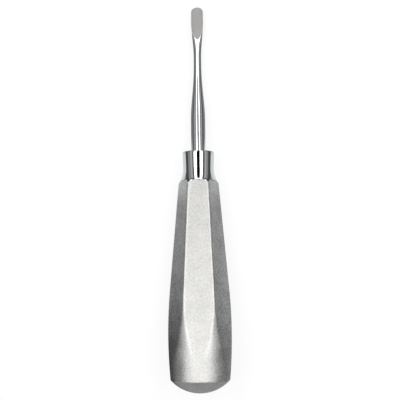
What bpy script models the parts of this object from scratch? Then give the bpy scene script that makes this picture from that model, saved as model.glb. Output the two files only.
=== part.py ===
# Dental luxator: gouge blade and shank in a hollow six-sided handle, lying as it rests.
# Each piece is modelled upright, butt at z = 0 and tip up, blade hollow facing -Y.
# An empty then lays the instrument down on z = 0: tip towards +Y and hollow up.

import math

import bmesh
import bpy
from mathutils import Matrix

# Handle, turned outside
CAP_DOME_RADIUS = 0.0159
BUTT_RADIUS = 0.01176
CROWN_LENGTH = 0.03586
CROWN_RADIUS = 0.200
TAPER_LENGTH = 0.04174
TAPER_SLOPE = 0.08925
FLARE_RADIUS = 0.0106
WAIST_RADIUS = 0.00620
COLLAR_RADIUS = 0.00638
NECK_LENGTH = 0.01312
COLLAR_EDGE = 0.0004
SHOULDER_DOME_RADIUS = 0.0450

# Six milled flats
FLATS = 6
CORNER_BREAK = 0.00012
MILL_THICKNESS = 0.0070
MILL_STOP_SHORT = 0.0009

# Handle, bored inside
END_WALL = 0.0019
FLAT_WALL = 0.0015
CAVITY_NOSE_LENGTH = 0.0035
TANG_LENGTH = 0.0230

# End cap
CAP_WALL = 0.0018
CAP_LIP_DEPTH = 0.0026
CAP_LIP_WALL = 0.0014
BUTT_EDGE = 0.0003

# Working end
SHANK_RADIUS = 0.00288
SHANK_STRAIGHT = 0.01263
SHANK_TAPER = 0.02378
WAIST_STRAIGHT = 0.00245
BLADE_FLARE = 0.01371
BLADE_LENGTH = 0.00650
SHANK_TAPER_SKEW = 1.2
SHANK_WAIST_RADIUS = 0.00151
TANG_CHAMFER = 0.0005
BLADE_WIDTH = 0.00480
RIM_RISE = 0.00066
RIM_CROWN = 0.00014
BLADE_BACK_ROOT = 0.00122
BLADE_BACK_TIP = 0.00075

# Gouge hollow and cutting edge
HOLLOW_RADIUS = 0.0028
HOLLOW_FLOOR = -0.00035
HOLLOW_WHEEL_RADIUS = 0.012
HOLLOW_STRAIGHT = 0.0076
HOLLOW_EXIT_ANGLE = math.radians(34)
NOSE_LENGTH = 0.0025
NOSE_BEVEL_RUN = 0.0004

# Fits and fineness
SEAT_GAP = 0.0003
TURNED_STEPS = 60
SHANK_SIDES = 36
OVERCUT = 0.0020

# Stations along the axis, measured from the butt
RIM = CAP_DOME_RADIUS - math.sqrt(CAP_DOME_RADIUS ** 2 - BUTT_RADIUS ** 2)
CROWN_TOP = RIM + CROWN_LENGTH
TAPER_TOP = CROWN_TOP + TAPER_LENGTH
CROWN_TOP_RADIUS = BUTT_RADIUS - TAPER_SLOPE * CROWN_LENGTH + CROWN_LENGTH ** 2 / (2 * CROWN_RADIUS)
TAPER_TOP_RADIUS = CROWN_TOP_RADIUS - TAPER_SLOPE * TAPER_LENGTH
FLARE_RISE = TAPER_TOP_RADIUS - WAIST_RADIUS
FLARE_TOP = TAPER_TOP + math.sqrt(2 * FLARE_RADIUS * FLARE_RISE - FLARE_RISE ** 2)
COLLAR_TOP = TAPER_TOP + NECK_LENGTH
SHANK_TOP = COLLAR_TOP + SHANK_STRAIGHT
WAIST = SHANK_TOP + SHANK_TAPER
BLADE_ROOT = WAIST + WAIST_STRAIGHT
BLADE_START = BLADE_ROOT + BLADE_FLARE
TIP = BLADE_START + BLADE_LENGTH
TANG_END = COLLAR_TOP - TANG_LENGTH

CORNER_COS = math.cos(math.pi / FLATS)
FLAT_ANGLE = math.atan(TAPER_SLOPE * CORNER_COS)


def clear_scene():
    for thing in list(bpy.data.objects):
        bpy.data.objects.remove(thing, do_unlink=True)


def new_collection(name):
    collection = bpy.data.collections.new(name)
    bpy.context.scene.collection.children.link(collection)
    return collection


def steel(name, colour, roughness):
    material = bpy.data.materials.new(name)
    material.use_nodes = True
    shader = material.node_tree.nodes["Principled BSDF"]
    shader.inputs["Base Color"].default_value = (*colour, 1.0)
    shader.inputs["Roughness"].default_value = roughness
    shader.inputs["Metallic"].default_value = 1.0
    return material


def add_object(name, mesh, collection, root, height=0.0):
    piece = bpy.data.objects.new(name, mesh)
    collection.objects.link(piece)
    piece.parent = root
    piece.location = (0.0, 0.0, height)
    return piece


def make_cutter(piece):
    piece.hide_render = True
    piece.display_type = "WIRE"


def cut(piece, cutter):
    boolean = piece.modifiers.new("cut_" + cutter.name, "BOOLEAN")
    boolean.operation = "DIFFERENCE"
    boolean.solver = "EXACT"
    boolean.object = cutter


# Profiles are lists of (radius, height); the Screw modifier turns them round Z
def turned(name, profile, collection, root, height, closed):
    mesh = bpy.data.meshes.new(name)
    points = [(radius, 0.0, level) for radius, level in profile]
    last = len(points) if closed else len(points) - 1
    edges = [(i, (i + 1) % len(points)) for i in range(last)]
    mesh.from_pydata(points, edges, [])
    piece = add_object(name, mesh, collection, root, height)
    screw = piece.modifiers.new("turn", "SCREW")
    screw.axis = "Z"
    screw.steps = TURNED_STEPS
    screw.render_steps = TURNED_STEPS
    screw.use_merge_vertices = True
    screw.merge_threshold = 0.00001
    screw.use_smooth_shade = True
    return piece


def arc(centre, radius, start, end, count):
    points = []
    for i in range(count + 1):
        angle = start + (end - start) * i / count
        points.append((centre[0] + radius * math.cos(angle), centre[1] + radius * math.sin(angle)))
    return points


def ease(value):
    value = min(max(value, 0.0), 1.0)
    return value * value * (3.0 - 2.0 * value)


# Radius of the turned blank at the corners of the six flats
def corner_radius(level):
    if level >= CROWN_TOP:
        return CROWN_TOP_RADIUS - TAPER_SLOPE * (level - CROWN_TOP)
    back = CROWN_TOP - level
    return CROWN_TOP_RADIUS + TAPER_SLOPE * back - back ** 2 / (2 * CROWN_RADIUS)


# Distance from the axis to a flat; the taper line is carried on under the crown
def flat_distance(level):
    straight = CROWN_TOP_RADIUS - TAPER_SLOPE * (level - CROWN_TOP)
    return CORNER_COS * (straight + CORNER_BREAK)


# Level under the crown at which a flat runs out: the root of corner_radius = flat_distance
def flat_foot():
    spare = 1 - CORNER_COS
    sink = CROWN_TOP_RADIUS * spare - CORNER_COS * CORNER_BREAK
    slope = TAPER_SLOPE * spare
    return CROWN_TOP - CROWN_RADIUS * (slope + math.sqrt(slope ** 2 + 2 * sink / CROWN_RADIUS))


# Radius of the hollow flare between the neck's waist and the corners of the flats
def flare_radius(level):
    return WAIST_RADIUS + FLARE_RADIUS - math.sqrt(FLARE_RADIUS ** 2 - (FLARE_TOP - level) ** 2)


# The collar's rounded edge: its centre's radius and level, and the angle where the dome meets it
def collar_edge():
    edge_reach = SHOULDER_DOME_RADIUS - COLLAR_EDGE
    tangent = math.acos((COLLAR_RADIUS - COLLAR_EDGE) / edge_reach)
    level = COLLAR_TOP - SHOULDER_DOME_RADIUS + edge_reach * math.sin(tangent)
    return COLLAR_RADIUS - COLLAR_EDGE, level, tangent


# Handle outside, from the mouth of the bore down to the butt rim
def handle_outside(bore):
    edge_radius, collar_end, tangent = collar_edge()
    mouth = math.acos(bore / SHOULDER_DOME_RADIUS)
    points = arc((0.0, COLLAR_TOP - SHOULDER_DOME_RADIUS), SHOULDER_DOME_RADIUS, mouth, tangent, 4)
    points += arc((edge_radius, collar_end), COLLAR_EDGE, tangent, 0.0, 3)[1:]

    neck_steps = 5
    for i in range(1, neck_steps):
        share = i / neck_steps
        radius = COLLAR_RADIUS + (WAIST_RADIUS - COLLAR_RADIUS) * ease(share)
        points.append((radius, collar_end + (FLARE_TOP - collar_end) * share))

    flare_steps = 7
    for i in range(flare_steps + 1):
        level = FLARE_TOP + (TAPER_TOP - FLARE_TOP) * i / flare_steps
        points.append((flare_radius(level), level))

    crown_steps = 16
    for i in range(crown_steps):
        level = CROWN_TOP - (CROWN_LENGTH - BUTT_EDGE) * i / crown_steps
        points.append((corner_radius(level), level))
    points.append((BUTT_RADIUS, RIM + BUTT_EDGE))
    points.append((BUTT_RADIUS - BUTT_EDGE, RIM))
    return points


# Handle inside, from the butt rim back up to the mouth of the bore: a straight bore,
# then a cone that keeps its wall behind the flats, and the drilled nose round the tang
def handle_inside(bore):
    seat = BUTT_RADIUS - END_WALL
    cavity_end = TANG_END - SEAT_GAP
    cone_end = cavity_end - CAVITY_NOSE_LENGTH
    cone_corner = (seat + FLAT_WALL) / CORNER_COS - CORNER_BREAK
    cone_start = CROWN_TOP - (cone_corner - CROWN_TOP_RADIUS) / TAPER_SLOPE
    return [
        (seat, RIM),
        (seat, cone_start),
        (flat_distance(cone_end) - FLAT_WALL, cone_end),
        (bore, cavity_end),
    ]


def build_handle(pieces, cutters, root, material):
    bore = SHANK_RADIUS + SEAT_GAP
    profile = handle_outside(bore) + handle_inside(bore)
    levels = [(radius, level - RIM) for radius, level in profile]
    handle = turned("handle_shell", levels, pieces, root, RIM, True)
    handle.data.materials.append(material)
    for number in range(FLATS):
        cut(handle, flat_cutter(number, cutters, root))
    return handle


# Level at which the middle of a flat would run out of the steel, on the flare under the neck
def flat_exit():
    steps = 60
    for i in range(steps):
        level = TAPER_TOP + (FLARE_TOP - TAPER_TOP) * i / steps
        if flare_radius(level) < flat_distance(level):
            return level
    return FLARE_TOP


# A block whose inner face lies on the flat, from below the butt to a small step in the flare
def flat_cutter(number, cutters, root):
    top = flat_exit() - MILL_STOP_SHORT
    bottom = -OVERCUT
    length = (top - bottom) / math.cos(FLAT_ANGLE)
    middle = (top + bottom) / 2
    width = 2 * (BUTT_RADIUS + MILL_THICKNESS)
    mesh = bpy.data.meshes.new("flat_mill_%d" % (number + 1))
    shape = bmesh.new()
    bmesh.ops.create_cube(shape, size=1.0)
    bmesh.ops.scale(shape, vec=(width, MILL_THICKNESS, length), verts=shape.verts)
    bmesh.ops.translate(shape, vec=(0.0, MILL_THICKNESS / 2, 0.0), verts=shape.verts)
    shape.to_mesh(mesh)
    shape.free()
    cutter = add_object(mesh.name, mesh, cutters, root)
    turn = Matrix.Rotation(2 * math.pi * number / FLATS, 4, "Z")
    place = Matrix.Translation((0.0, flat_distance(middle), middle))
    tilt = Matrix.Rotation(FLAT_ANGLE, 4, "X")
    cutter.matrix_local = turn @ place @ tilt
    make_cutter(cutter)
    return cutter


def build_cap(pieces, root, material):
    seat = BUTT_RADIUS - END_WALL - SEAT_GAP
    rim = RIM - SEAT_GAP
    inner_radius = CAP_DOME_RADIUS - CAP_WALL
    lip_inside = seat - CAP_LIP_WALL
    lip_top = RIM + CAP_LIP_DEPTH
    centre = (0.0, CAP_DOME_RADIUS)
    outer_end = -math.acos((BUTT_RADIUS - BUTT_EDGE) / CAP_DOME_RADIUS)
    inner_start = -math.acos(lip_inside / inner_radius)
    profile = arc(centre, inner_radius, -math.pi / 2, inner_start, 4)
    profile.append((lip_inside, lip_top))
    profile.append((seat, lip_top))
    profile.append((seat, rim))
    profile.append((BUTT_RADIUS - BUTT_EDGE, rim))
    profile += arc(centre, CAP_DOME_RADIUS, outer_end, -math.pi / 2, 8)
    profile[0] = (0.0, profile[0][1])
    profile[-1] = (0.0, profile[-1][1])
    levels = [(radius, level - RIM) for radius, level in profile]
    cap = turned("end_cap", levels, pieces, root, RIM, False)
    cap.data.materials.append(material)
    return cap


# Section of the working end: half width, rise of the side edges, front rise, back depth
def blade_section(level):
    up = min(max((WAIST - level) / SHANK_TAPER, 0.0), 1.0)
    radius = SHANK_WAIST_RADIUS + (SHANK_RADIUS - SHANK_WAIST_RADIUS) * ease(up ** SHANK_TAPER_SKEW)
    spread = ease((level - BLADE_ROOT) / BLADE_FLARE)
    along = max(level - BLADE_START, 0.0) / BLADE_LENGTH
    back = BLADE_BACK_ROOT + (BLADE_BACK_TIP - BLADE_BACK_ROOT) * along
    blade = (BLADE_WIDTH / 2, RIM_RISE, RIM_RISE + RIM_CROWN, back)
    shank = (radius, 0.0, radius, radius)
    return [shank[i] + (blade[i] - shank[i]) * spread for i in range(4)]


def section_loop(level, inset=0.0):
    half, edge, front, back = blade_section(level)
    half, front, back = half - inset, front - inset, back - inset
    loop = []
    for i in range(SHANK_SIDES):
        angle = 2 * math.pi * i / SHANK_SIDES
        rise = front - edge if math.sin(angle) > 0 else back + edge
        loop.append((half * math.cos(angle), -(edge + rise * math.sin(angle)), level))
    return loop


def stations(start, end, count):
    return [start + (end - start) * i / count for i in range(1, count + 1)]


# The working end is a loft, because its section changes from a round to a gouge
def build_working_end(pieces, cutters, root, material):
    levels = [TANG_END, TANG_END + TANG_CHAMFER, SHANK_TOP]
    levels += stations(SHANK_TOP, WAIST, 12)
    levels += [BLADE_ROOT]
    levels += stations(BLADE_ROOT, BLADE_START, 12)
    levels += stations(BLADE_START, TIP, 4)
    levels.append(TIP + OVERCUT)
    shape = bmesh.new()
    rings = []
    for index, level in enumerate(levels):
        loop = section_loop(level, TANG_CHAMFER if index == 0 else 0.0)
        rings.append([shape.verts.new((x, y, z - COLLAR_TOP)) for x, y, z in loop])
    for lower, upper in zip(rings, rings[1:]):
        for i in range(SHANK_SIDES):
            j = (i + 1) % SHANK_SIDES
            shape.faces.new((lower[i], upper[i], upper[j], lower[j]))
    shape.faces.new(rings[0])
    shape.faces.new(list(reversed(rings[-1])))
    bmesh.ops.recalc_face_normals(shape, faces=shape.faces)
    mesh = bpy.data.meshes.new("working_end")
    shape.to_mesh(mesh)
    shape.free()
    mesh.shade_smooth()
    mesh.set_sharp_from_angle(angle=math.radians(35))
    mesh.materials.append(material)
    working_end = add_object("working_end", mesh, pieces, root, COLLAR_TOP)
    cut(working_end, hollow_cutter(cutters, root))
    cut(working_end, nose_cutter(cutters, root))
    return working_end


# The grinding wheel's path: along the blade, then out of the front on the wheel's radius
def hollow_cutter(cutters, root):
    centre_rise = HOLLOW_FLOOR + HOLLOW_RADIUS
    bend = TIP - HOLLOW_STRAIGHT
    path_radius = HOLLOW_WHEEL_RADIUS - HOLLOW_RADIUS
    path = [(0.0, -centre_rise, TIP + 2 * OVERCUT), (0.0, -centre_rise, bend)]
    turns = 18
    for i in range(1, turns + 1):
        angle = HOLLOW_EXIT_ANGLE * i / turns
        rise = centre_rise + path_radius * (1 - math.cos(angle))
        path.append((0.0, -rise, bend - path_radius * math.sin(angle)))
    curve = bpy.data.curves.new("hollow_path", "CURVE")
    curve.dimensions = "3D"
    curve.bevel_depth = HOLLOW_RADIUS
    curve.bevel_resolution = 14
    curve.use_fill_caps = True
    spline = curve.splines.new("POLY")
    spline.points.add(len(path) - 1)
    for point, place in zip(spline.points, path):
        point.co = (*place, 1.0)
    guide = add_object("hollow_path", curve, cutters, root)
    bpy.context.view_layer.update()
    evaluated = guide.evaluated_get(bpy.context.evaluated_depsgraph_get())
    mesh = bpy.data.meshes.new_from_object(evaluated)
    shape = bmesh.new()
    shape.from_mesh(mesh)
    bmesh.ops.remove_doubles(shape, verts=shape.verts, dist=0.000001)
    bmesh.ops.recalc_face_normals(shape, faces=shape.faces)
    shape.to_mesh(mesh)
    shape.free()
    bpy.data.objects.remove(guide, do_unlink=True)
    cutter = add_object("hollow_wheel", mesh, cutters, root)
    make_cutter(cutter)
    return cutter


# A plate with an elliptic bay: what lies outside the bay is ground off the blade's end.
# Behind the hollow's floor its wall leans back, which grinds the bevel of the edge.
def nose_cutter(cutters, root):
    half = BLADE_WIDTH / 2
    base = TIP - NOSE_LENGTH
    bay = []
    count = 20
    for i in range(count + 1):
        angle = math.pi * i / count
        bay.append((half * math.cos(angle), base + NOSE_LENGTH * math.sin(angle)))
    wide = half + 2 * OVERCUT
    high = TIP + 3 * OVERCUT
    outline = [(wide, base)] + bay + [(-wide, base), (-wide, high), (wide, high)]
    front = -(RIM_RISE + RIM_CROWN + OVERCUT)
    edge = -HOLLOW_FLOOR
    lean = NOSE_BEVEL_RUN / (BLADE_BACK_TIP - edge)
    shape = bmesh.new()
    layers = []
    for depth, shift in ((front, 0.0), (edge, 0.0), (edge + OVERCUT, lean * OVERCUT)):
        layers.append([shape.verts.new((x, depth, z - shift)) for x, z in outline])
    for upper, lower in zip(layers, layers[1:]):
        for i in range(len(outline)):
            j = (i + 1) % len(outline)
            shape.faces.new((upper[i], upper[j], lower[j], lower[i]))
    shape.faces.new(layers[0])
    shape.faces.new(list(reversed(layers[-1])))
    bmesh.ops.recalc_face_normals(shape, faces=shape.faces)
    mesh = bpy.data.meshes.new("nose_plate")
    shape.to_mesh(mesh)
    shape.free()
    cutter = add_object("nose_plate", mesh, cutters, root)
    make_cutter(cutter)
    return cutter


# Lay the instrument down with its box centred on the origin. The collar stands proud of
# the flat's plane, so it rests on the collar and on the foot of the flat behind the blade.
def lay_down(root, pieces):
    collar_end = collar_edge()[1]
    drop = flat_distance(flat_foot()) - COLLAR_RADIUS
    rest_angle = math.atan(drop / (collar_end - flat_foot()))
    root.rotation_euler = (-(math.pi / 2 + rest_angle), 0.0, 0.0)
    bpy.context.view_layer.update()
    depsgraph = bpy.context.evaluated_depsgraph_get()
    places = []
    for piece in pieces:
        evaluated = piece.evaluated_get(depsgraph)
        places += [evaluated.matrix_world @ vertex.co for vertex in evaluated.data.vertices]
    reach = [place.y for place in places]
    root.location = (0.0, -(min(reach) + max(reach)) / 2, -min(place.z for place in places))


def main():
    clear_scene()
    pieces = new_collection("dental_luxator")
    cutters = new_collection("cutters")
    root = bpy.data.objects.new("instrument", None)
    pieces.objects.link(root)
    polished = steel("polished_steel", (0.60, 0.61, 0.62), 0.15)
    blasted = steel("blasted_steel", (0.58, 0.59, 0.60), 0.42)
    capped = steel("blasted_cap_steel", (0.57, 0.58, 0.59), 0.45)
    built = [
        build_handle(pieces, cutters, root, blasted),
        build_cap(pieces, root, capped),
        build_working_end(pieces, cutters, root, polished),
    ]
    lay_down(root, built)


main()
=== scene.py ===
import math

import bmesh
import bpy
import numpy as np
from mathutils import Matrix, Vector


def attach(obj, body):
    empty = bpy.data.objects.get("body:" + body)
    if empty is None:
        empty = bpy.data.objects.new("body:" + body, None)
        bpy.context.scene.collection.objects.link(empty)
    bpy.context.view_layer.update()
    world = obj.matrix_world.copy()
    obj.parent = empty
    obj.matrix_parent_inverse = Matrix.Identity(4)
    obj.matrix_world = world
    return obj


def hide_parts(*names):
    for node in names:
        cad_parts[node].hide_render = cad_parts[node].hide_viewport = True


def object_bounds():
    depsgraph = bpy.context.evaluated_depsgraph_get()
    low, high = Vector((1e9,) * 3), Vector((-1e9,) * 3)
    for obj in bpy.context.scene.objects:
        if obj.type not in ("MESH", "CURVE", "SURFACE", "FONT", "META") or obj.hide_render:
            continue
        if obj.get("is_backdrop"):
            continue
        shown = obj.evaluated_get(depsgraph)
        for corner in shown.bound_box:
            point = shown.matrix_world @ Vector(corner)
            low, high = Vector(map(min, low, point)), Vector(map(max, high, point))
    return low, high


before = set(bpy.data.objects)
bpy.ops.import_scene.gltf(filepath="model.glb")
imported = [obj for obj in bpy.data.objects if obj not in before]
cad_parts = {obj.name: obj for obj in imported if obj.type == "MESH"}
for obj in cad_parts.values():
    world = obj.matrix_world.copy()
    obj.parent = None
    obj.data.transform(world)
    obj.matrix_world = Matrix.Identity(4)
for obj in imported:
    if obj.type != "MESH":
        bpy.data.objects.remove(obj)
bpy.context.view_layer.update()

# Every piece is modelled upright in millimetres: butt apex at z = 0, tip up, hollow of the
# blade towards -Y. layingMatrix then lays it down in the frame, in metres.
rest = {
    "dip": 4.2384,  # degrees that the long axis dips from the butt to the tip
}
millimetre = 0.001  # in metres, the unit of the frame


def layingMatrix():
    # from upright to lying, with the butt's apex where the CAD has it
    turn = Matrix.Rotation(-math.radians(90.0 + rest["dip"]), 4, "X")
    along = turn.to_3x3() @ Vector((0.0, 0.0, 1.0))
    capPoints = [vertex.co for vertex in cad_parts["end_cap"].data.vertices]
    apex = min(capPoints, key=lambda point: point.dot(along))  # the middle of the domed butt
    return Matrix.Translation(apex) @ turn @ Matrix.Scale(millimetre, 4)


laying = layingMatrix()


def steelColour(hexText):
    # sRGB hex to the linear colour that the shader wants
    linear = []
    for start in (1, 3, 5):
        value = int(hexText[start:start + 2], 16) / 255.0
        linear.append(value / 12.92 if value <= 0.04045 else ((value + 0.055) / 1.055) ** 2.4)
    return (*linear, 1.0)


def addNode(tree, kind, place, settings=None, inputs=None, links=None):
    # settings are node properties, inputs are socket values, links are (input, output socket)
    node = tree.nodes.new(kind)
    node.location = place
    for key, value in (settings or {}).items():
        setattr(node, key, value)
    for key, value in (inputs or {}).items():
        node.inputs[key].default_value = value
    for key, source in (links or {}).items():
        tree.links.new(source, node.inputs[key])
    return node


def newMaterial(name):
    made = bpy.data.materials.new(name)
    made.use_nodes = True
    made.node_tree.nodes.clear()
    return made, made.node_tree


def ease(value):
    value = np.clip(value, 0.0, 1.0)
    return value * value * (3.0 - 2.0 * value)


def arcPoints(centre, radius, start, end, count):
    # points on an arc in the radius and level plane, both ends included
    angles = np.linspace(start, end, count + 1)
    return [(centre[0] + radius * math.cos(a), centre[1] + radius * math.sin(a)) for a in angles]


def patternScale(width):
    # noise scale for marks about this many mm wide, on Object coordinates in metres
    return 1000.0 / width


def showPiece(mesh, name, node):
    # a finished piece: object at the origin, its place in its mesh
    mesh.transform(laying)
    piece = bpy.data.objects.new(name, mesh)
    bpy.context.scene.collection.objects.link(piece)
    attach(piece, "root")
    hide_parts(node)
    print(name, "has", len(mesh.polygons), "faces")


# Materials

polish = {
    "colour": "#c9cbcc",
    "roughness": 0.07,
    "haze": 0.02,  # how much the roughness varies along the polishing marks
    "markWidth": 0.35,  # mm across the marks; real ones are finer and would not show
    "markSquash": 0.06,  # scale along the instrument, which draws the marks out
    "markDetail": 3.0,
    "markDepth": 0.0006,  # mm
    "markStrength": 0.10,
}

hollowGrind = {
    "colour": "#c6c5c4",
    "roughness": 1.0,
    "grain": 0.30,  # mm, coarser than the real grit so that it shows
    "grainDetail": 2.0,
    "grainDepth": 0.01,  # mm
    "grainStrength": 0.3,
}

blasting = {
    "colour": "#c8c7c5",
    "darkColour": "#aeaeac",
    "paintedSheenPale": "#ebebe9",  # painted reflection: both colours give paler and darker speckles where a face points left or right
    "paintedSheenDark": "#7b7d7c",
    "sideFacing": (0.3, 0.8),  # share of the face's normal that points sideways
    "sideLevels": (-0.06, 0.01),  # m along the instrument, from near the butt to the neck
    "paintedSheenShares": (0.6, 0.25),  # share of the painted-reflection colours at these two levels
    "roughness": 0.44,
    "grain": 0.6,  # mm; glass beads leave dimples of about 0.1 mm, drawn coarser to show
    "grainRoughness": 0.6,
    "grainDepth": 0.05,  # mm
    "grainStrength": 0.8,
    "clouds": 6.0,  # mm, the faint unevenness that the hand-held blasting leaves
    "cloudShare": 0.25,
    "detail": 2.0,
    "contrast": (0.35, 0.65),  # noise values that give the dark and the full colour
}


def polishedSteelShader(tree, coordinates, place):
    # Martensitic stainless, polished on a felt wheel: a clear mirror with faint long marks
    x, y = place
    stretch = addNode(tree, "ShaderNodeMapping", (x - 800, y),
                      inputs={"Scale": (1.0, polish["markSquash"], 1.0)},
                      links={"Vector": coordinates})
    marks = addNode(tree, "ShaderNodeTexNoise", (x - 600, y),
                    inputs={"Scale": patternScale(polish["markWidth"]),
                            "Detail": polish["markDetail"]},
                    links={"Vector": stretch.outputs["Vector"]})
    low, high = polish["roughness"] - polish["haze"], polish["roughness"] + polish["haze"]
    haze = addNode(tree, "ShaderNodeMapRange", (x - 400, y),
                   inputs={"To Min": low, "To Max": high}, links={"Value": marks.outputs["Fac"]})
    bump = addNode(tree, "ShaderNodeBump", (x - 400, y - 250),
                   inputs={"Strength": polish["markStrength"],
                           "Distance": polish["markDepth"] * millimetre},
                   links={"Height": marks.outputs["Fac"]})
    return addNode(tree, "ShaderNodeBsdfPrincipled", (x, y),
                   inputs={"Base Color": steelColour(polish["colour"]), "Metallic": 1.0},
                   links={"Roughness": haze.outputs["Result"], "Normal": bump.outputs["Normal"]})


def paintedSheenShare(tree, coordinates, place):
    # painted reflection: faces to the left and right get stronger, paler and darker speckles,
    # most of all near the butt
    x, y = place
    normal = addNode(tree, "ShaderNodeTexCoord", (x, y)).outputs["Normal"]
    turned = addNode(tree, "ShaderNodeSeparateXYZ", (x + 150, y), links={0: normal}).outputs[0]
    sideways = addNode(tree, "ShaderNodeMath", (x + 300, y), {"operation": "ABSOLUTE"},
                       links={0: turned})
    onSide = addNode(tree, "ShaderNodeMapRange", (x + 450, y),
                     inputs={"From Min": blasting["sideFacing"][0],
                             "From Max": blasting["sideFacing"][1]},
                     links={"Value": sideways.outputs[0]})
    level = addNode(tree, "ShaderNodeSeparateXYZ", (x + 150, y - 200), links={0: coordinates})
    nearButt = addNode(tree, "ShaderNodeMapRange", (x + 450, y - 200),
                       inputs={"From Min": blasting["sideLevels"][0],
                               "From Max": blasting["sideLevels"][1],
                               "To Min": blasting["paintedSheenShares"][0],
                               "To Max": blasting["paintedSheenShares"][1]},
                       links={"Value": level.outputs[1]})
    return addNode(tree, "ShaderNodeMath", (x + 600, y), {"operation": "MULTIPLY"},
                   links={0: onSide.outputs["Result"], 1: nearButt.outputs["Result"]}).outputs[0]


def blastedSteelShader(tree, coordinates, place):
    # The same stainless, blasted with glass beads: silky grey with fine specks, with painted
    # reflection speckles on faces that point left or right
    x, y = place
    grain = addNode(tree, "ShaderNodeTexNoise", (x - 800, y),
                    inputs={"Scale": patternScale(blasting["grain"]),
                            "Detail": blasting["detail"],
                            "Roughness": blasting["grainRoughness"]},
                    links={"Vector": coordinates})
    clouds = addNode(tree, "ShaderNodeTexNoise", (x - 800, y - 250),
                     inputs={"Scale": patternScale(blasting["clouds"]),
                             "Detail": blasting["detail"]},
                     links={"Vector": coordinates})
    both = addNode(tree, "ShaderNodeMix", (x - 600, y), settings={"data_type": "FLOAT"},
                   inputs={"Factor": blasting["cloudShare"]},
                   links={"A": grain.outputs["Fac"], "B": clouds.outputs["Fac"]})
    contrast = addNode(tree, "ShaderNodeMapRange", (x - 450, y),
                       inputs={"From Min": blasting["contrast"][0],
                               "From Max": blasting["contrast"][1]},
                       links={"Value": both.outputs["Result"]})
    even = addNode(tree, "ShaderNodeMix", (x - 450, y + 250), settings={"data_type": "RGBA"},
                   inputs={6: steelColour(blasting["darkColour"]),
                           7: steelColour(blasting["colour"])},
                   links={"Factor": contrast.outputs["Result"]})
    # painted reflection: paler and darker speckles for faces that point left or right
    paintedSheenSpeckles = addNode(tree, "ShaderNodeMix", (x - 450, y + 500), settings={"data_type": "RGBA"},
                      inputs={6: steelColour(blasting["paintedSheenDark"]),
                              7: steelColour(blasting["paintedSheenPale"])},
                      links={"Factor": contrast.outputs["Result"]})
    colour = addNode(tree, "ShaderNodeMix", (x - 250, y), settings={"data_type": "RGBA"},
                     links={"Factor": paintedSheenShare(tree, coordinates, (x - 1200, y + 500)),
                            6: even.outputs[2], 7: paintedSheenSpeckles.outputs[2]})
    bump = addNode(tree, "ShaderNodeBump", (x - 250, y - 250),
                   inputs={"Strength": blasting["grainStrength"],
                           "Distance": blasting["grainDepth"] * millimetre},
                   links={"Height": grain.outputs["Fac"]})
    return addNode(tree, "ShaderNodeBsdfPrincipled", (x, y),
                   inputs={"Metallic": 1.0, "Roughness": blasting["roughness"]},
                   links={"Base Color": colour.outputs[2], "Normal": bump.outputs["Normal"]})


def groundSteelShader(tree, coordinates, place):
    # The blade's hollow as the small grinding wheel leaves it: matt, without direction
    x, y = place
    grain = addNode(tree, "ShaderNodeTexNoise", (x - 600, y),
                    inputs={"Scale": patternScale(hollowGrind["grain"]),
                            "Detail": hollowGrind["grainDetail"]},
                    links={"Vector": coordinates})
    bump = addNode(tree, "ShaderNodeBump", (x - 300, y - 200),
                   inputs={"Strength": hollowGrind["grainStrength"],
                           "Distance": hollowGrind["grainDepth"] * millimetre},
                   links={"Height": grain.outputs["Fac"]})
    return addNode(tree, "ShaderNodeBsdfPrincipled", (x, y),
                   inputs={"Base Color": steelColour(hollowGrind["colour"]), "Metallic": 1.0,
                           "Roughness": hollowGrind["roughness"]},
                   links={"Normal": bump.outputs["Normal"]})


def twoFinishes(name, attribute, firstShader, secondShader):
    # second finish where the piece's own attribute is 1, first finish where it is 0
    made, tree = newMaterial(name)
    place = addNode(tree, "ShaderNodeTexCoord", (-1400, 0)).outputs["Object"]
    share = addNode(tree, "ShaderNodeAttribute", (-200, 300),
                    settings={"attribute_type": "GEOMETRY", "attribute_name": attribute})
    first = firstShader(tree, place, (0, 0))
    second = secondShader(tree, place, (0, -700))
    mixed = addNode(tree, "ShaderNodeMixShader", (300, 0),
                    links={0: share.outputs["Fac"], 1: first.outputs[0], 2: second.outputs[0]})
    addNode(tree, "ShaderNodeOutputMaterial", (500, 0), links={"Surface": mixed.outputs[0]})
    return made


def oneFinish(name, shader):
    made, tree = newMaterial(name)
    place = addNode(tree, "ShaderNodeTexCoord", (-1400, 0)).outputs["Object"]
    finish = shader(tree, place, (0, 0))
    addNode(tree, "ShaderNodeOutputMaterial", (300, 0), links={"Surface": finish.outputs[0]})
    return made


handleSteel = twoFinishes("blasted_stainless_handle", "turnedNeck",
                          blastedSteelShader, polishedSteelShader)
bladeSteel = twoFinishes("polished_stainless_blade", "groundHollow",
                         polishedSteelShader, groundSteelShader)
capSteel = oneFinish("blasted_stainless_cap", blastedSteelShader)
print("materials made")

# Handle: a turned blank, then six flats milled by a Geometry Nodes tree

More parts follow.
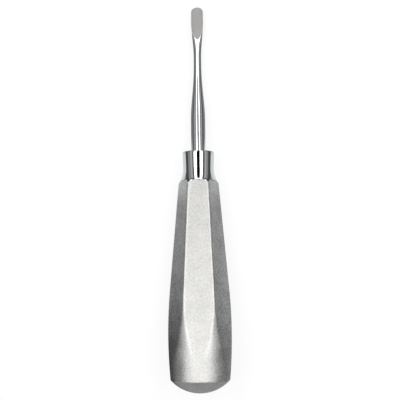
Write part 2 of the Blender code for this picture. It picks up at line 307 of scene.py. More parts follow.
handle = {
    "domeRadius": 15.9,  # the butt's dome
    "buttRadius": 11.76,
    "buttEdge": 0.22,  # rounding between the barrel and the dome
    "crownLength": 35.86,
    "crownRadius": 200.0,
    "taperLength": 41.74,
    "taperSlope": 0.08925,
    "flareRadius": 10.6,
    "waistRadius": 6.20,
    "collarRadius": 6.38,
    "collarEdge": 0.5,
    "neckLength": 13.12,
    "shoulderRadius": 45.0,
    "mouthRadius": 2.9,  # closes on the shank
    "flats": 6,
    "cornerBreak": 0.12,
    "edgeSoftness": 0.5,  # blasting rounds every edge of the milling
    "millRunout": 83.72,  # level where the mill is lifted off the flats
    "millStep": 0.04,
    "wallAtButt": 1.9,
    "wallAtFlats": 1.5,
    "cavityEnd": 72.6,
    "noseLength": 3.5,
    "polishAtFlat": 83.80,  # level where the polished neck starts on a flat's middle
    "polishAtCorner": 82.9,
    "polishFade": 0.12,  # mm on each side of that border
    "millLift": 40.0,  # mm that the mill is lifted for each mm past its run-out
    "columnsPerFlat": 32,
    "cornerCrowding": 0.6,  # 0 spaces the columns evenly, below 1
    "shoulderSteps": 10,
    "collarSteps": 6,
    "neckSteps": 26,
    "flareSteps": 40,
    "taperSteps": 70,
    "crownSteps": 80,
    "buttSteps": 8,
}

rim = handle["domeRadius"] - math.sqrt(handle["domeRadius"] ** 2 - handle["buttRadius"] ** 2)
crownTop = rim + handle["crownLength"]
taperTop = crownTop + handle["taperLength"]
collarTop = taperTop + handle["neckLength"]
crownTopRadius = (handle["buttRadius"] - handle["taperSlope"] * handle["crownLength"]
                  + handle["crownLength"] ** 2 / (2 * handle["crownRadius"]))
taperTopRadius = crownTopRadius - handle["taperSlope"] * handle["taperLength"]
flareRise = taperTopRadius - handle["waistRadius"]
flareTop = taperTop + math.sqrt(2 * handle["flareRadius"] * flareRise - flareRise ** 2)
cornerCos = math.cos(math.pi / handle["flats"])


def barrelRadius(level):
    back = np.maximum(crownTop - level, 0.0)
    straight = crownTopRadius - handle["taperSlope"] * (level - crownTop)
    return straight - back ** 2 / (2 * handle["crownRadius"])


def flareShape(level):
    reach = handle["flareRadius"] ** 2 - (flareTop - level) ** 2
    return handle["waistRadius"] + handle["flareRadius"] - math.sqrt(reach)


def buttFillet():
    # centre of the rounding that touches the barrel's side and the dome from inside
    size = handle["buttEdge"]
    above = 0.5  # mm over which the side's slope is taken
    slope = (barrelRadius(rim + above) - barrelRadius(rim)) / above
    level = rim
    for _ in range(40):  # far more rounds than it takes to settle
        radius = handle["buttRadius"] + slope * (level - rim) - size * math.sqrt(1 + slope ** 2)
        level = handle["domeRadius"] - math.sqrt((handle["domeRadius"] - size) ** 2 - radius ** 2)
    return (radius, level), -math.atan(slope), math.atan2(level - handle["domeRadius"], radius)


def handleOutside():
    shoulder = (0.0, collarTop - handle["shoulderRadius"])
    reach = handle["shoulderRadius"] - handle["collarEdge"]
    touch = math.acos((handle["collarRadius"] - handle["collarEdge"]) / reach)
    edge = (handle["collarRadius"] - handle["collarEdge"], shoulder[1] + reach * math.sin(touch))
    mouth = math.acos(handle["mouthRadius"] / handle["shoulderRadius"])
    points = arcPoints(shoulder, handle["shoulderRadius"], mouth, touch, handle["shoulderSteps"])
    points += arcPoints(edge, handle["collarEdge"], touch, 0.0, handle["collarSteps"])[1:]
    taken = handle["waistRadius"] - handle["collarRadius"]
    for share in np.linspace(0.0, 1.0, handle["neckSteps"] + 1)[1:-1]:
        radius = handle["collarRadius"] + taken * float(ease(share))
        points.append((radius, edge[1] + (flareTop - edge[1]) * share))
    step = handle["millStep"] / 2  # two close rings, so that the flats end in a sharp step
    levels = np.append(np.linspace(flareTop, taperTop, handle["flareSteps"] + 1),
                       [handle["millRunout"] - step, handle["millRunout"] + step])
    for level in sorted(levels, reverse=True):
        points.append((flareShape(level), level))
    for level in np.linspace(taperTop, crownTop, handle["taperSteps"] + 1)[1:]:
        points.append((float(barrelRadius(level)), level))
    centre, sideAngle, domeAngle = buttFillet()
    filletStart = centre[1] + handle["buttEdge"] * math.sin(sideAngle)
    for level in np.linspace(crownTop, filletStart, handle["crownSteps"] + 1)[1:-1]:
        points.append((float(barrelRadius(level)), level))
    points += arcPoints(centre, handle["buttEdge"], sideAngle, domeAngle, handle["buttSteps"])
    return points


def handleInside():
    seat = handle["buttRadius"] - handle["wallAtButt"]
    coneEnd = handle["cavityEnd"] - handle["noseLength"]
    coneCorner = (seat + handle["wallAtFlats"]) / cornerCos - handle["cornerBreak"]
    coneStart = crownTop - (coneCorner - crownTopRadius) / handle["taperSlope"]
    flatAtEnd = cornerCos * (float(barrelRadius(coneEnd)) + handle["cornerBreak"])
    endRadius = flatAtEnd - handle["wallAtFlats"]
    return [(seat, seamLevel), (seat, coneStart), (endRadius, coneEnd),
            (handle["mouthRadius"], handle["cavityEnd"])]


smallest = {
    "mergeDistance": 0.0005,  # mm
    "edgeLength": 0.0004,
}


def cleanMesh(mesh):
    # merged doubles, no slivers, faces outwards
    shape = bmesh.new()
    shape.from_mesh(mesh)
    bmesh.ops.remove_doubles(shape, verts=shape.verts, dist=smallest["mergeDistance"])
    bmesh.ops.dissolve_degenerate(shape, edges=shape.edges, dist=smallest["edgeLength"])
    bmesh.ops.recalc_face_normals(shape, faces=shape.faces)
    shape.to_mesh(mesh)
    shape.free()
    mesh.shade_smooth()


def turnedMesh(name, profile, angles, closed):
    # rings of a profile turned round Z; points on the axis are merged into one
    rings = np.array(profile)
    count = len(angles)
    points = np.empty((len(rings), count, 3))
    points[..., 0] = rings[:, :1] * np.cos(angles)
    points[..., 1] = rings[:, :1] * np.sin(angles)
    points[..., 2] = rings[:, 1:]
    rows = len(rings) if closed else len(rings) - 1
    faces = []
    for i in range(rows):
        here, there = i * count, ((i + 1) % len(rings)) * count
        for j in range(count):
            k = (j + 1) % count
            faces.append((here + j, there + j, there + k, here + k))
    mesh = bpy.data.meshes.new(name)
    mesh.from_pydata([tuple(p) for p in points.reshape(-1, 3)], [], faces)
    cleanMesh(mesh)
    return mesh


def millingTree():
    # Set Position on the blank: each point is drawn in to its nearest flat
    tree = bpy.data.node_groups.new("mill_flats", "GeometryNodeTree")
    sockets = tree.interface
    sockets.new_socket("Geometry", in_out="INPUT", socket_type="NodeSocketGeometry")
    named = ("Flats", "Crown top level", "Crown top radius", "Taper slope", "Corner break",
             "Edge softness", "Mill run-out level", "Mill lift", "Polish level on flats",
             "Polish level on corners")
    for label in named:
        sockets.new_socket(label, in_out="INPUT", socket_type="NodeSocketFloat")
    sockets.new_socket("Material", in_out="INPUT", socket_type="NodeSocketMaterial")
    sockets.new_socket("Geometry", in_out="OUTPUT", socket_type="NodeSocketGeometry")
    given = addNode(tree, "NodeGroupInput", (-1800, 0)).outputs

    def calc(operation, place, first, second=None, third=None):
        values, links = {}, {}
        for number, item in enumerate((first, second, third)):
            if item is None:
                continue
            (links if isinstance(item, bpy.types.NodeSocket) else values)[number] = item
        made = addNode(tree, "ShaderNodeMath", place, {"operation": operation}, values, links)
        return made.outputs[0]

    position = addNode(tree, "GeometryNodeInputPosition", (-1800, -300))
    parts = addNode(tree, "ShaderNodeSeparateXYZ", (-1600, -300),
                    links={0: position.outputs[0]}).outputs
    flat = addNode(tree, "ShaderNodeCombineXYZ", (-1600, -500),
                   links={0: parts[0], 1: parts[1]}).outputs[0]
    radius = addNode(tree, "ShaderNodeVectorMath", (-1400, -500), {"operation": "LENGTH"},
                     links={0: flat}).outputs["Value"]
    angle = calc("ARCTAN2", (-1400, -300), parts[1], parts[0])
    sector = calc("DIVIDE", (-1400, -100), 2 * math.pi, given["Flats"])
    within = calc("FLOORED_MODULO", (-1200, -300), angle, sector)
    halfSector = calc("MULTIPLY", (-1200, -100), sector, 0.5)
    offAngle = calc("SUBTRACT", (-1000, -300), within, halfSector)  # from the flat's middle

    below = calc("SUBTRACT", (-1200, 200), parts[2], given["Crown top level"])
    taken = calc("MULTIPLY", (-1000, 200), below, given["Taper slope"])
    straight = calc("SUBTRACT", (-800, 200), given["Crown top radius"], taken)
    corner = calc("ADD", (-600, 200), straight, given["Corner break"])
    cosHalf = calc("COSINE", (-800, 0), halfSector)
    distance = calc("MULTIPLY", (-400, 200), corner, cosHalf)
    cosOff = calc("COSINE", (-800, -300), offAngle)
    plane = calc("DIVIDE", (-200, 100), distance, cosOff)
    past = calc("SUBTRACT", (-600, 400), parts[2], given["Mill run-out level"])
    lifted = calc("MAXIMUM", (-400, 400), past, 0.0)
    plane = calc("MULTIPLY_ADD", (0, 200), lifted, given["Mill lift"], plane)  # clear of the neck
    milled = calc("SMOOTH_MIN", (200, 0), radius, plane, given["Edge softness"])
    safe = calc("MAXIMUM", (200, -300), radius, 0.001)  # never divides by nothing on the axis
    share = calc("DIVIDE", (400, 0), milled, safe)
    drawn = addNode(tree, "ShaderNodeVectorMath", (600, -200), {"operation": "SCALE"},
                    links={0: flat, "Scale": share}).outputs[0]
    lift = addNode(tree, "ShaderNodeCombineXYZ", (600, -400), links={2: parts[2]}).outputs[0]
    moved = addNode(tree, "ShaderNodeVectorMath", (800, -200), {"operation": "ADD"},
                    links={0: drawn, 1: lift}).outputs[0]

    offShare = calc("DIVIDE", (-600, -600), offAngle, halfSector)
    squared = calc("MULTIPLY", (-400, -600), offShare, offShare)
    reach = calc("SUBTRACT", (-400, -800), given["Polish level on corners"],
                 given["Polish level on flats"])
    border = calc("MULTIPLY_ADD", (-200, -600), squared, reach, given["Polish level on flats"])
    above = calc("SUBTRACT", (0, -600), parts[2], border)
    polished = addNode(tree, "ShaderNodeMapRange", (200, -600),
                       {"interpolation_type": "SMOOTHSTEP"},
                       {"From Min": -handle["polishFade"], "From Max": handle["polishFade"]},
                       {"Value": above}).outputs[0]

    store = addNode(tree, "GeometryNodeStoreNamedAttribute", (400, 400),
                    {"data_type": "FLOAT", "domain": "POINT"}, {"Name": "turnedNeck"},
                    {"Geometry": given["Geometry"], "Value": polished})
    setPlace = addNode(tree, "GeometryNodeSetPosition", (1000, 200),
                       links={"Geometry": store.outputs[0], "Position": moved})
    real = addNode(tree, "GeometryNodeRealizeInstances", (1200, 200),
                   links={"Geometry": setPlace.outputs[0]})
    dressed = addNode(tree, "GeometryNodeSetMaterial", (1400, 200),
                      links={"Geometry": real.outputs[0], "Material": given["Material"]})
    addNode(tree, "NodeGroupOutput", (1600, 200), links={"Geometry": dressed.outputs[0]})
    return tree


def runTree(mesh, tree, values):
    # evaluate the tree once and keep its result as a plain mesh
    blank = bpy.data.objects.new("blank", mesh)
    bpy.context.scene.collection.objects.link(blank)
    modifier = blank.modifiers.new("mill", "NODES")
    modifier.node_group = tree
    for socket in tree.interface.items_tree:
        if socket.name in values and socket.in_out == "INPUT":
            modifier[socket.identifier] = values[socket.name]
    depsgraph = bpy.context.evaluated_depsgraph_get()
    result = bpy.data.meshes.new_from_object(blank.evaluated_get(depsgraph))
    blank.modifiers.remove(modifier)
    bpy.data.objects.remove(blank, do_unlink=True)
    return result


def cornerAngles():
    # columns stand closest at the corners between the flats
    sector = 2 * math.pi / handle["flats"]
    share = (np.arange(handle["columnsPerFlat"]) / handle["columnsPerFlat"]) * 2.0 - 1.0
    spaced = share + handle["cornerCrowding"] * np.sin(math.pi * share) / math.pi
    one = sector / 2 * (spaced + 1.0)
    return np.concatenate([one + sector * n for n in range(handle["flats"])])


seamAngle = buttFillet()[2]  # the weld seam lies where the rounding meets the dome
seamRadius = handle["domeRadius"] * math.cos(seamAngle)
seamLevel = handle["domeRadius"] * (1.0 + math.sin(seamAngle))
blankMesh = turnedMesh("handle_blank", handleOutside() + handleInside(), cornerAngles(), True)
handleMesh = runTree(blankMesh, millingTree(), {
    "Flats": float(handle["flats"]),
    "Crown top level": crownTop,
    "Crown top radius": crownTopRadius,
    "Taper slope": handle["taperSlope"],
    "Corner break": handle["cornerBreak"],
    "Edge softness": handle["edgeSoftness"],
    "Mill run-out level": handle["millRunout"],
    "Mill lift": handle["millLift"],
    "Polish level on flats": handle["polishAtFlat"],
    "Polish level on corners": handle["polishAtCorner"],
    "Material": handleSteel,
})
showPiece(handleMesh, "handle", "handle_shell")

# End cap: a turned dome welded into the butt, its seam dressed flush

cap = {
    "wall": 1.8,
    "lipDepth": 2.6,
    "lipWall": 1.4,
    "seatGap": 0.3,
    "seam": 0.01,
    "columns": 120,
    "insideSteps": 12,
    "domeSteps": 60,
}


def capProfile():
    centre = (0.0, handle["domeRadius"])
    seat = handle["buttRadius"] - handle["wallAtButt"] - cap["seatGap"]
    lipInside = seat - cap["lipWall"]
    innerRadius = handle["domeRadius"] - cap["wall"]
    face = seamLevel - cap["seam"]
    lipAngle = -math.acos(lipInside / innerRadius)
    edgeAngle = -math.acos((seamRadius - cap["seam"]) / handle["domeRadius"])
    apexAngle = -math.pi / 2
    points = arcPoints(centre, innerRadius, apexAngle, lipAngle, cap["insideSteps"])
    points += [(lipInside, rim + cap["lipDepth"]), (seat, rim + cap["lipDepth"]), (seat, face)]
    points += arcPoints(centre, handle["domeRadius"], edgeAngle, apexAngle, cap["domeSteps"])
    points[0] = (0.0, points[0][1])  # both ends exactly on the axis
    points[-1] = (0.0, points[-1][1])
    return points


capAngles = np.linspace(0.0, 2 * math.pi, cap["columns"], endpoint=False)
capMesh = turnedMesh("cap", capProfile(), capAngles, False)
capMesh.materials.append(capSteel)
showPiece(capMesh, "endCap", "end_cap")

# Working end: one loft from the round tang to the gouge, with the hollow ground in

blade = {
    "tangEnd": 72.92,
    "tangChamfer": 0.5,
    "shankRadius": 2.88,
    "shankStraight": 12.63,
    "shankTaper": 23.78,
    "taperSkew": 1.2,
    "waistRadius": 1.51,
    "waistStraight": 2.45,
    "flareLength": 13.71,
    "bladeLength": 6.5,
    "width": 4.80,
    "rimRise": 0.66,
    "rimCrown": 0.14,
    "backAtRoot": 1.22,
    "backAtTip": 0.75,
    "hollowRadius": 2.8,
    "hollowFloor": -0.35,
    "wheelRadius": 12.0,
    "hollowStraight": 7.6,
    "hollowReach": 7.5,  # the run-out ends within this length
    "rimSoftness": 0.05,
    "satinRims": 143.6,  # level from which the rims beside the hollow are ground too
    "satinFade": 0.8,  # mm over which the grinding spreads to the rims
    "grindFade": 0.04,  # mm of depth over which polish turns to grinding
    "satinTurn": -0.2,  # below this sine round the section the steel stays polished
    "noseLength": 2.5,
    "noseBevel": 0.4,
    "noseSteps": 32,
    "noseCrowding": 1.5,  # above 1 the rings stand closer towards the cutting edge
    "hollowLevels": (141.0, 150.0),  # between these the rings stand closest
    "hiddenLength": 1.0,  # mm below the collar's top where the shank's close rings start
    "levelSteps": (6, 24, 60, 6, 24, 130, 26),  # rings in each run of levels from the tang up
    "columns": 160,
    "sharpAngle": 50.0,  # degrees
}

shankTop = collarTop + blade["shankStraight"]
waist = shankTop + blade["shankTaper"]
bladeRoot = waist + blade["waistStraight"]
bladeStart = bladeRoot + blade["flareLength"]
tip = bladeStart + blade["bladeLength"]
noseBase = tip - blade["noseLength"]


def smoothMin(first, second, softness):
    mixed = np.maximum(softness - np.abs(first - second), 0.0) / softness
    return np.minimum(first, second) - mixed ** 3 * softness / 6.0


def bladeSection(level):
    # half width, rise of the side edges, rise of the front, depth of the back
    up = np.clip((waist - level) / blade["shankTaper"], 0.0, 1.0) ** blade["taperSkew"]
    radius = blade["waistRadius"] + (blade["shankRadius"] - blade["waistRadius"]) * ease(up)
    spread = ease((level - bladeRoot) / blade["flareLength"])
    along = np.maximum(level - bladeStart, 0.0) / blade["bladeLength"]
    back = blade["backAtRoot"] + (blade["backAtTip"] - blade["backAtRoot"]) * along
    half = radius + (blade["width"] / 2 - radius) * spread
    edge = blade["rimRise"] * spread
    front = radius + (blade["rimRise"] + blade["rimCrown"] - radius) * spread
    return half, edge, front, radius + (back - radius) * spread


def hollowRise(across, level):
    # the surface that the small wheel sweeps: straight to the tip, then up and out of the front
    outOfReach = 99.0  # mm, far above the steel where the wheel doesn't grind
    tube = np.sqrt(np.maximum(blade["hollowRadius"] ** 2 - across ** 2, 0.0))
    pathRadius = blade["wheelRadius"] - blade["hollowRadius"]
    centre = blade["hollowFloor"] + blade["wheelRadius"]
    behind = np.clip(tip - blade["hollowStraight"] - level, 0.0, blade["hollowReach"])
    rise = centre - np.sqrt((pathRadius + tube) ** 2 - behind ** 2)
    return np.where(behind >= blade["hollowReach"], outOfReach, rise)


def bladeLevels():
    runs = (blade["tangEnd"] + blade["tangChamfer"], collarTop - blade["hiddenLength"], shankTop,
            waist, bladeRoot, *blade["hollowLevels"], noseBase)
    levels = [blade["tangEnd"]]
    for start, end, count in zip(runs, runs[1:], blade["levelSteps"]):
        levels += list(np.linspace(start, end, count + 1)[:-1])
    return np.array(levels + [noseBase])


def bladeRings():
    angles = np.linspace(0.0, 2 * math.pi, blade["columns"], endpoint=False)
    cosine, sine = np.cos(angles), np.sin(angles)
    straight = bladeLevels()
    even = np.linspace(0.0, 1.0, blade["noseSteps"] + 1)[1:]
    shares = 1.0 - (1.0 - even) ** blade["noseCrowding"]
    level = np.concatenate([straight[:, None] + 0.0 * cosine,
                            noseBase + shares[:, None] * blade["noseLength"] * np.abs(sine)])
    half, edge, front, back = bladeSection(level)
    half[0] -= blade["tangChamfer"]
    front[0] -= blade["tangChamfer"]
    back[0] -= blade["tangChamfer"]
    across = half * cosine
    crown = edge + (front - edge) * sine
    under = edge + (back + edge) * sine
    wheel = hollowRise(across, level)
    ground = smoothMin(crown, wheel, blade["rimSoftness"])
    rise = np.where(sine > 1e-9, ground, under)
    noseReach = blade["noseLength"] * np.maximum(np.abs(sine), 1e-6)
    nose = np.clip((level - noseBase) / noseReach, 0.0, 1.0)
    level = level - np.where(sine < 0.0, blade["noseBevel"] * nose * np.abs(sine), 0.0)
    grinding = ease((crown - wheel) / blade["grindFade"] + 0.5)
    satin = ease((level - blade["satinRims"]) / blade["satinFade"])
    share = np.where(sine > blade["satinTurn"], np.maximum(grinding, satin), 0.0)
    return np.stack([across, -rise, level], axis=-1), share


def bladeMesh():
    points, share = bladeRings()
    rows, count = share.shape
    faces = []
    for i in range(rows - 1):
        for j in range(count):
            k = (j + 1) % count
            faces.append((i * count + j, i * count + k, (i + 1) * count + k, (i + 1) * count + j))
    faces.append(tuple(range(count)))
    last = (rows - 1) * count
    for j in range(count // 2):  # the cutting edge's bevel: front points to the back ones below
        mirror = (count - j) % count
        faces.append((last + j, last + j + 1, last + (count - j - 1) % count, last + mirror))
    mesh = bpy.data.meshes.new("blade_loft")
    mesh.from_pydata([tuple(p) for p in points.reshape(-1, 3)], [], faces)
    layer = mesh.attributes.new("groundHollow", "FLOAT", "POINT")
    layer.data.foreach_set("value", share.reshape(-1).astype(np.float32))
    cleanMesh(mesh)
    mesh.set_sharp_from_angle(angle=math.radians(blade["sharpAngle"]))
    mesh.materials.append(bladeSteel)
    return mesh


showPiece(bladeMesh(), "workingEnd", "working_end")

# Studio: white floor, two softboxes beside the camera, dimmer ones towards the tip and
# further out, and a broad panel over the butt

studio = {
    "cameraDistance": 0.40,  # m from the instrument's axis
    "cameraAbove": 69.1,  # mm from the butt, the level that the camera stands right above
    "lens": 90.18,  # mm
    "tilt": 1.016,  # degrees that the camera looks towards the tip
    "aimRight": 0.51,  # mm, the axis stands left of the image's middle
    "turn": 1.8,  # degrees that the camera stands round to the right
    "roll": 0.68,  # degrees that the tip leans left
    "aimLevel": 77.5,  # mm from the butt, the level that the lights are set round
    "floorSize": 6.0,  # m
    "floorColour": "#f2f2f2",
    "floorGlow": 0.86,  # share of the floor that is plain white to the camera and in reflections
    "roomLight": 0.16,  # the white room's light on the object
    "clip": (0.05, 20.0),  # m
}


def viewAxes():
    # lights stand round the instrument's own axis, the camera right above the floor
    turn = laying.to_3x3().normalized()
    along = (turn @ Vector((0.0, 0.0, 1.0))).normalized()
    front = (turn @ Vector((0.0, -1.0, 0.0))).normalized()
    right = along.cross(front).normalized()
    side = math.radians(studio["turn"])
    towards = front * math.cos(side) + right * math.sin(side)
    return along, along.cross(towards).normalized(), towards


along, rightward, towards = viewAxes()
aim = laying @ Vector((0.0, 0.0, studio["aimLevel"]))


def placeFacing(thing, location, back, up):
    # local Z along back, local Y along up
    right = up.cross(back).normalized()
    up = back.cross(right).normalized()
    turn = Matrix((right, up, back)).transposed().to_4x4()
    thing.matrix_world = Matrix.Translation(location) @ turn


def addCamera():
    data = bpy.data.cameras.new("camera")
    data.lens = studio["lens"]
    data.clip_start, data.clip_end = studio["clip"]
    camera = bpy.data.objects.new("camera", data)
    bpy.context.scene.collection.objects.link(camera)
    side, tilt, roll = (math.radians(studio[key]) for key in ("turn", "tilt", "roll"))
    above = Vector((math.sin(side), 0.0, math.cos(side)))
    right = Vector((math.cos(side), 0.0, -math.sin(side)))
    foot = laying @ Vector((0.0, 0.0, studio["cameraAbove"]))
    foot += right * studio["aimRight"] * millimetre
    back = Matrix.Rotation(tilt, 3, right) @ above
    up = Matrix.Rotation(-roll, 3, back) @ Vector((0.0, 1.0, 0.0))
    placeFacing(camera, foot + above * studio["cameraDistance"], back, up)
    bpy.context.scene.camera = camera


def addSoftbox(name, angle, distance, width, length, shift, radiance):
    # angle is round the instrument's axis from the camera, shift is towards the tip
    light = bpy.data.lights.new(name, "AREA")
    light.shape = "RECTANGLE"
    light.size, light.size_y = width, length
    light.energy = radiance * math.pi * width * length
    lamp = bpy.data.objects.new(name, light)
    bpy.context.scene.collection.objects.link(lamp)
    turn = math.radians(angle)
    back = towards * math.cos(turn) + rightward * math.sin(turn)
    placeFacing(lamp, aim + back * distance + along * shift, back, along)


# angle in degrees, distance, width, length and shift in m, radiance
softboxes = {
    "leftStrip": (-22.5, 0.60, 0.205, 0.14, 0.04, 4.9),
    "rightStrip": (21.2, 0.60, 0.203, 0.14, 0.04, 4.9),
    "leftTipStrip": (-22.5, 0.60, 0.205, 1.39, 0.805, 2.95),
    "rightTipStrip": (21.2, 0.60, 0.203, 1.39, 0.805, 2.95),
    "buttPanel": (-5.0, 0.58, 1.66, 0.34, -0.20, 2.18),
    "leftFill": (-52.0, 0.80, 0.20, 1.02, 0.49, 0.43),
    "leftDimFill": (-69.0, 0.80, 0.28, 1.02, 0.49, 0.21),
    "rightFill": (52.0, 0.80, 0.15, 1.6, 0.2, 0.47),
    "rightDimFill": (65.0, 0.80, 0.22, 1.6, 0.2, 0.25),
}

# Cards that only the metal's reflections see, as a photographer would set them, and a glowing bed
# with painted shade and light; sizes in metres
hood = {
    "distance": 0.62,
    "width": 0.225,
    "length": 1.52,
    "side": -0.010,
    "shift": 0.73,
}

bladeCard = {
    "distance": 0.045,
    "width": 0.022,
    "length": 0.0246,
    "level": 152.7,  # mm from the butt
    "glow": 1.8,
}

# painted shade and light that the metal's reflections see in place of the floor near the
# instrument
bed = {
    "halfWidth": 0.060,
    "lift": 0.0003,
    "beyondButt": 0.098,
    "beyondTip": 0.040,
    "flagHeight": 0.018,
    "nearHalfWidth": 0.048,
    "tint": (0.97, 1.0, 1.01),  # the painted shade and light are a cool grey
    # painted shade and light: level from the butt in mm, glow near the instrument on the left and
    # the right, glow beyond
    "glow": ((-98.0, 0.10, 0.10, 0.15),
             (-38.0, 0.50, 0.46, 0.70),
             (-10.0, 0.55, 0.52, 0.90),
             (-9.0, 0.02, 0.46, 0.02),
             (2.0, 0.02, 0.40, 0.02),
             (15.0, 0.02, 0.42, 0.05),
             (23.0, 0.08, 0.52, 0.08),
             (35.0, 0.32, 0.58, 0.18),
             (47.0, 0.38, 0.58, 0.26),
             (60.0, 0.46, 0.60, 0.36),
             (74.0, 0.46, 0.54, 0.40),
             (79.0, 0.52, 0.52, 0.20),
             (81.0, 1.00, 1.00, 0.10),
             (96.0, 1.00, 1.00, 0.10),
             (103.0, 0.36, 0.36, 0.10),
             (190.0, 0.30, 0.30, 0.10)),
}


def addFloor():
    made, tree = newMaterial("floor_white")
    path = addNode(tree, "ShaderNodeLightPath", (-800, 200)).outputs
    seen = addNode(tree, "ShaderNodeMath", (-600, 200), {"operation": "MAXIMUM"},
                   links={0: path["Is Camera Ray"], 1: path["Is Glossy Ray"]})
    seen = addNode(tree, "ShaderNodeMath", (-400, 200), {"operation": "MAXIMUM"},
                   links={0: seen.outputs[0], 1: path["Is Transmission Ray"]})
    share = addNode(tree, "ShaderNodeMath", (-200, 200), {"operation": "MULTIPLY"},
                    {1: studio["floorGlow"]}, {0: seen.outputs[0]})
    matt = addNode(tree, "ShaderNodeBsdfDiffuse", (-200, 0),
                   inputs={"Color": steelColour(studio["floorColour"])})
    glow = addNode(tree, "ShaderNodeEmission", (-200, -200), inputs={"Strength": 1.0})
    mixed = addNode(tree, "ShaderNodeMixShader", (0, 0),
                    links={0: share.outputs[0], 1: matt.outputs[0], 2: glow.outputs[0]})
    addNode(tree, "ShaderNodeOutputMaterial", (200, 0), links={"Surface": mixed.outputs[0]})
    mesh = bpy.data.meshes.new("floor")
    shape = bmesh.new()
    bmesh.ops.create_grid(shape, x_segments=1, y_segments=1, size=studio["floorSize"] / 2)
    shape.to_mesh(mesh)
    shape.free()
    mesh.materials.append(made)
    floor = bpy.data.objects.new("floor", mesh)
    bpy.context.scene.collection.objects.link(floor)
    floor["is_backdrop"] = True


def addWorld():
    world = bpy.data.worlds.new("studio")
    bpy.context.scene.world = world
    world.use_nodes = True
    tree = world.node_tree
    tree.nodes.clear()
    path = addNode(tree, "ShaderNodeLightPath", (-600, 200)).outputs
    room = addNode(tree, "ShaderNodeBackground", (-200, 0),
                   inputs={"Color": steelColour("#ffffff"), "Strength": studio["roomLight"]})
    seen = addNode(tree, "ShaderNodeBackground", (-200, -200),
                   inputs={"Color": steelColour("#ffffff"), "Strength": 1.0})
    mixed = addNode(tree, "ShaderNodeMixShader", (0, 0),
                    links={0: path["Is Camera Ray"], 1: room.outputs[0], 2: seen.outputs[0]})
    addNode(tree, "ShaderNodeOutputWorld", (200, 0), links={"Surface": mixed.outputs[0]})


def glossyOnly(card):
    card.visible_camera = False
    card.visible_diffuse = False
    card.visible_transmission = False
    card.visible_volume_scatter = False
    card.visible_shadow = False
    bpy.context.scene.collection.objects.link(card)
    card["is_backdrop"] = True


def glowMaterial(name, strength):
    made, tree = newMaterial(name)
    glow = addNode(tree, "ShaderNodeEmission", (0, 0), inputs={"Strength": strength})
    addNode(tree, "ShaderNodeOutputMaterial", (200, 0), links={"Surface": glow.outputs[0]})
    return made


def addCard(name, material, width, length, place):
    wide, long = width / 2, length / 2
    mesh = bpy.data.meshes.new(name)
    mesh.from_pydata([(-wide, -long, 0), (wide, -long, 0), (wide, long, 0), (-wide, long, 0)],
                     [], [(0, 1, 2, 3)])
    mesh.materials.append(material)
    card = bpy.data.objects.new(name, mesh)
    placeFacing(card, place, towards, along)
    glossyOnly(card)


def addHood():
    # black cloth round the camera, between the two strips
    place = aim + towards * hood["distance"] + rightward * hood["side"] + along * hood["shift"]
    addCard("camera_hood", glowMaterial("black_cloth", 0.0), hood["width"], hood["length"], place)


def addBladeCard():
    # small white card above the blade, mirrored in the waist and in the steel behind the hollow
    place = laying @ Vector((0.0, 0.0, bladeCard["level"])) + towards * bladeCard["distance"]
    addCard("blade_card", glowMaterial("white_card", bladeCard["glow"]),
            bladeCard["width"], bladeCard["length"], place)


def paintedBedShade(tree, column, share, place):
    # painted shade and light: colour ramp along the instrument, one stop for each row of the
    # table
    rows = bed["glow"]
    first, last = rows[0][0], rows[-1][0]
    ramp = addNode(tree, "ShaderNodeValToRGB", place, links={"Fac": share})
    stops = ramp.color_ramp.elements
    for row in rows[1:-1]:
        stops.new((row[0] - first) / (last - first))
    for stop, row in zip(stops, rows):
        stop.color = (*(row[column] * part for part in bed["tint"]), 1.0)
    return ramp.outputs["Color"]


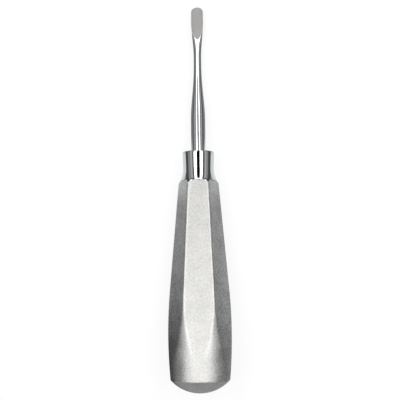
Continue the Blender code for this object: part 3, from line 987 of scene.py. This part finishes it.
def paintedShadeBedMaterial():
    made, tree = newMaterial("painted_table_shade")
    place = addNode(tree, "ShaderNodeTexCoord", (-1200, 0)).outputs["Object"]
    parts = addNode(tree, "ShaderNodeSeparateXYZ", (-1000, 0), links={0: place}).outputs
    ends = [(laying @ Vector((0.0, 0.0, bed["glow"][i][0]))).y for i in (0, -1)]
    share = addNode(tree, "ShaderNodeMapRange", (-800, 0),
                    inputs={"From Min": ends[0], "From Max": ends[1]}, links={"Value": parts[1]})
    left, right, far = (paintedBedShade(tree, column, share.outputs["Result"], (-600, 300 - 300 * column))
                        for column in (1, 2, 3))
    onRight = addNode(tree, "ShaderNodeMath", (-600, 300), {"operation": "GREATER_THAN"},
                      {1: 0.0}, {0: parts[0]})
    near = addNode(tree, "ShaderNodeMix", (-300, 0), {"data_type": "RGBA"},
                   links={"Factor": onRight.outputs[0], 6: left, 7: right})
    across = addNode(tree, "ShaderNodeMath", (-600, 500), {"operation": "ABSOLUTE"},
                     links={0: parts[0]})
    beyond = addNode(tree, "ShaderNodeMath", (-400, 500), {"operation": "GREATER_THAN"},
                     {1: bed["nearHalfWidth"]}, {0: across.outputs[0]})
    shade = addNode(tree, "ShaderNodeMix", (-100, 0), {"data_type": "RGBA"},
                    links={"Factor": beyond.outputs[0], 6: near.outputs[2], 7: far})
    glow = addNode(tree, "ShaderNodeEmission", (100, 0), inputs={"Strength": 1.0},
                   links={"Color": shade.outputs[2]})
    addNode(tree, "ShaderNodeOutputMaterial", (300, 0), links={"Surface": glow.outputs[0]})
    return made


def addBed():
    # painted shade and light: a glowing card under the instrument, darkest by the butt and
    # brightest by the neck, with a low flag at each side
    low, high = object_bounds()
    wide, lift, tall = bed["halfWidth"], bed["lift"], bed["flagHeight"]
    points = []
    for y in (low.y - bed["beyondButt"], high.y + bed["beyondTip"]):
        points += [(-wide, y, tall), (-wide, y, lift), (wide, y, lift), (wide, y, tall)]
    mesh = bpy.data.meshes.new("painted_shade_bed")
    mesh.from_pydata(points, [], [(0, 1, 5, 4), (1, 2, 6, 5), (2, 3, 7, 6)])
    mesh.materials.append(paintedShadeBedMaterial())
    glossyOnly(bpy.data.objects.new("painted_shade_bed", mesh))


addCamera()
addHood()
addBladeCard()
addBed()
for name, values in softboxes.items():
    addSoftbox(name, *values)
addFloor()
addWorld()
bpy.context.scene.view_settings.view_transform = "Standard"
print("studio ready")
